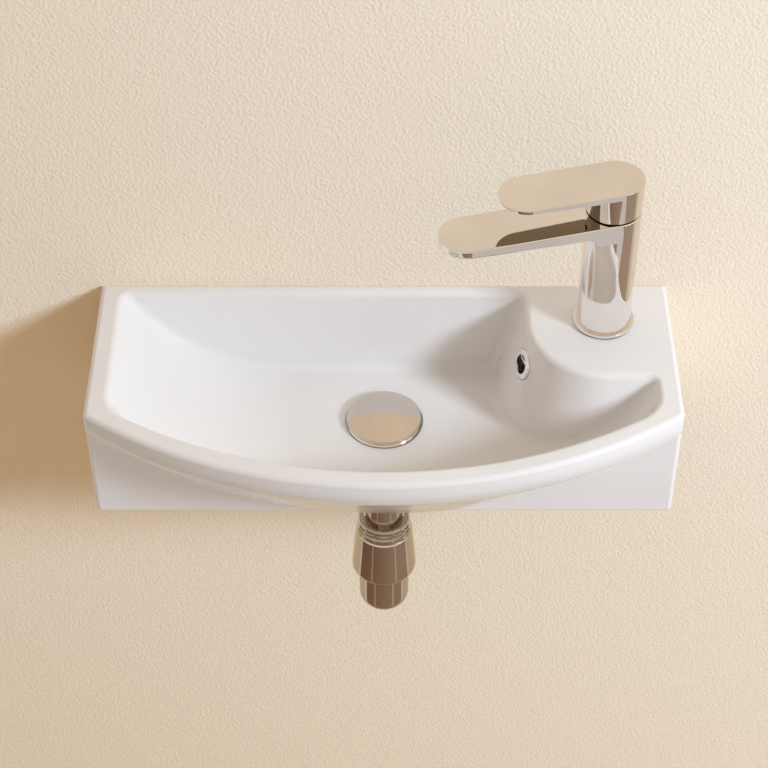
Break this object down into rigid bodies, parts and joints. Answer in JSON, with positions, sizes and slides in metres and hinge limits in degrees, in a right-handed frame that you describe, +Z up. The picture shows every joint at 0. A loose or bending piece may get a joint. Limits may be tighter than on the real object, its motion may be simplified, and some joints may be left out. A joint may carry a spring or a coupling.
{
  "type": "wall-hung washbasin",
  "caption": "Wall-hung ceramic washbasin with a bowed front, a lever mixer tap on a side ledge, a lift-up domed plug and a bottle trap below.",
  "frame": {"origin": "midway between the two wall fixing holes, in the plane of the wall", "axes": "+Z up, the basin's front faces -Y, +X to the right seen from the front, the wall is the plane Y = 0"},
  "size_m": [0.47, 0.26, 0.4543],
  "materials": {
    "glaze": "glossy white glaze",
    "chrome": "polished chrome plate",
    "brass": "turned brass",
    "steel": "stainless steel",
    "rubber": "matte black rubber",
    "plastic": "moulded white plastic",
    "disc": "ground ceramic"
  },
  "bodies": {
    "fixed": {"basin_body": "glaze", "overflow_ring": "chrome", "waste_body": "chrome", "trap_inlet_tube": "chrome", "trap_coupling_nut": "chrome", "trap_top_nut": "chrome", "trap_body": "chrome", "trap_cup": "chrome", "trap_outlet_pipe": "chrome", "trap_outlet_nut": "chrome", "wall_rosette": "chrome", "tap_body": "chrome", "tap_base_ring": "chrome", "aerator_housing": "chrome", "waste_locknut": "brass", "cartridge_nut": "brass", "tap_fixing_nut": "brass", "waste_plug_spring": "steel", "tap_stud": "steel", "tap_clamp_plate": "steel", "waste_top_gasket": "rubber", "waste_bottom_gasket": "rubber", "trap_coupling_washer": "rubber", "trap_top_seal": "rubber", "trap_cup_seal": "rubber", "trap_outlet_seal": "rubber", "tap_base_gasket": "rubber", "cartridge_seal": "rubber", "aerator_seal": "rubber", "tap_clamp_gasket": "rubber", "waste_plug_guide": "plastic", "waste_slip_washer": "plastic", "cartridge_housing": "plastic", "aerator_plate": "plastic", "cartridge_fixed_disc": "disc"},
    "lever_carrier": {"cartridge_carrier": "plastic", "cartridge_pivot_pin": "steel", "cartridge_moving_disc": "disc"},
    "lever": {"tap_lever": "chrome", "tap_lever_screw": "steel", "cartridge_stem": "steel"},
    "plug": {"waste_plug_cap": "chrome", "waste_plug_seal": "rubber", "waste_plug_stem": "brass"}
  },
  "joints": [
    {"name": "lever_swivel", "type": "hinge", "parent": "fixed", "child": "lever_carrier", "pos_m": [0.179, -0.044, 0.172], "axis": [0, 0, 1], "range_deg": [-28, 40]},
    {"name": "lever_lift", "type": "hinge", "parent": "lever_carrier", "child": "lever", "pos_m": [0.179, -0.044, 0.172], "axis": [-0.2588, 0.9659, 0], "range_deg": [0, 18]},
    {"name": "plug_lift", "type": "slide", "parent": "fixed", "child": "plug", "axis": [0, 0, 1], "range_m": [0, 0.009], "deforming": ["waste_plug_spring"]}
  ]
}
